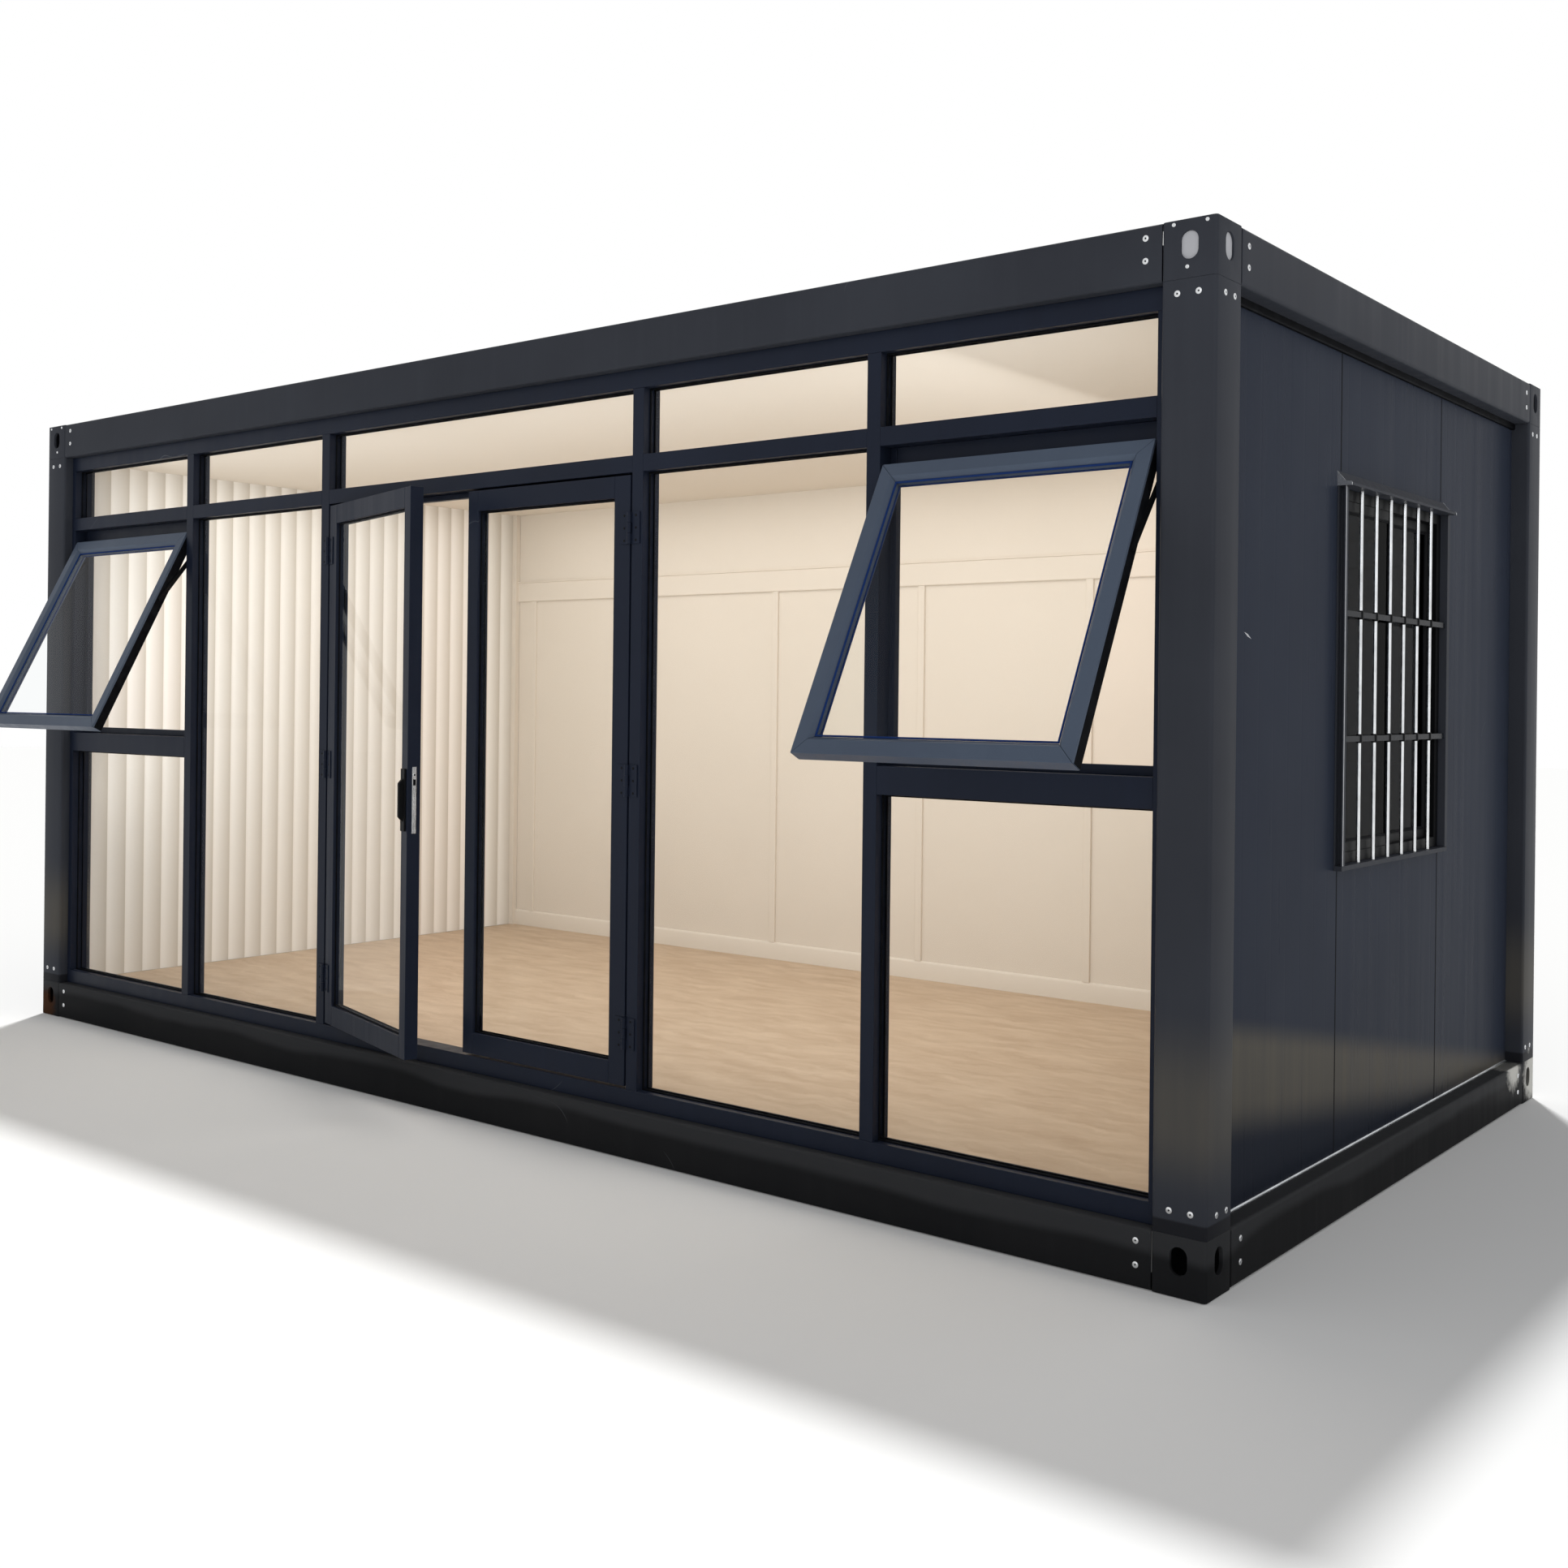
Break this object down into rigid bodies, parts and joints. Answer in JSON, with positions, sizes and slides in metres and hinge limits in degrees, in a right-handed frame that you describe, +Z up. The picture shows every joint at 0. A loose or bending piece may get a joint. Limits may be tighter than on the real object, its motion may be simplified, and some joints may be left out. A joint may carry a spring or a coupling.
{
  "type": "container house",
  "caption": "Flat-pack steel container house with a glazed front, an outward double door, open awning windows and a barred window in one end.",
  "frame": {"origin": "on the ground under the middle of the whole box, with the open awning windows in the box", "axes": "+X along the house, glazed front towards -Y, +Z up"},
  "size_m": [5.95, 3.3831, 2.8],
  "materials": {
    "steel_frame": "satin charcoal paint, worn at the corners",
    "steel_base": "satin near-black paint",
    "wall_panel": "satin blue-grey coil coating, fine grooves",
    "roof_sheet": "satin zinc grey",
    "floor_board": "raw board",
    "floor_finish": "matt beige sheet floor",
    "ceiling_board": "matt white",
    "beige_lining": "matt warm beige",
    "white_lining": "matt off-white",
    "window_frame": "satin blue-black powder coat",
    "sash_frame": "satin slate powder coat",
    "glass": "clear",
    "bright_metal": "satin",
    "black_metal": "satin black"
  },
  "bodies": {
    "house": {"bottom_corner_blocks": "steel_base", "top_corner_blocks": "steel_frame", "corner_posts": "steel_frame", "bottom_beams": "steel_base", "top_beams": "steel_frame", "floor_joists": "steel_base", "floor_deck": "floor_board", "floor_finish": "floor_finish", "roof_purlins": "steel_frame", "roof_sheet": "roof_sheet", "ceiling": "ceiling_board", "back_wall": "wall_panel", "left_end_wall": "wall_panel", "right_end_wall": "wall_panel", "back_lining": "beige_lining", "left_lining": "white_lining", "right_lining": "beige_lining", "front_sill": "window_frame", "front_head": "window_frame", "front_jambs": "window_frame", "front_mullions": "window_frame", "front_transoms": "window_frame", "top_light_glass": "glass", "fixed_glass": "glass", "door_stops": "window_frame", "awning_stops": "window_frame", "awning_sashes": "sash_frame", "awning_glass": "glass", "awning_stays": "bright_metal", "end_window_frame": "black_metal", "end_window_sashes": "black_metal", "end_window_glass": "glass", "end_window_grille": "bright_metal", "end_window_surround": "steel_frame", "frame_hinges": "black_metal"},
    "left_door": {"left_door_stiles": "window_frame", "left_door_rails": "window_frame", "left_door_glass": "glass", "left_door_handle": "black_metal", "left_door_lock": "bright_metal", "left_door_hinges": "black_metal"},
    "right_door": {"right_door_stiles": "window_frame", "right_door_rails": "window_frame", "right_door_glass": "glass", "right_door_hinges": "black_metal"}
  },
  "joints": [
    {"name": "left_door_hinge", "type": "hinge", "parent": "house", "child": "left_door", "pos_m": [-0.811, -1.27645, 1.26], "axis": [0, 0, -1], "range_deg": [-16.3, 73.7]},
    {"name": "right_door_hinge", "type": "hinge", "parent": "house", "child": "right_door", "pos_m": [0.861, -1.27645, 1.26], "axis": [0, 0, 1], "range_deg": [0, 90]}
  ]
}
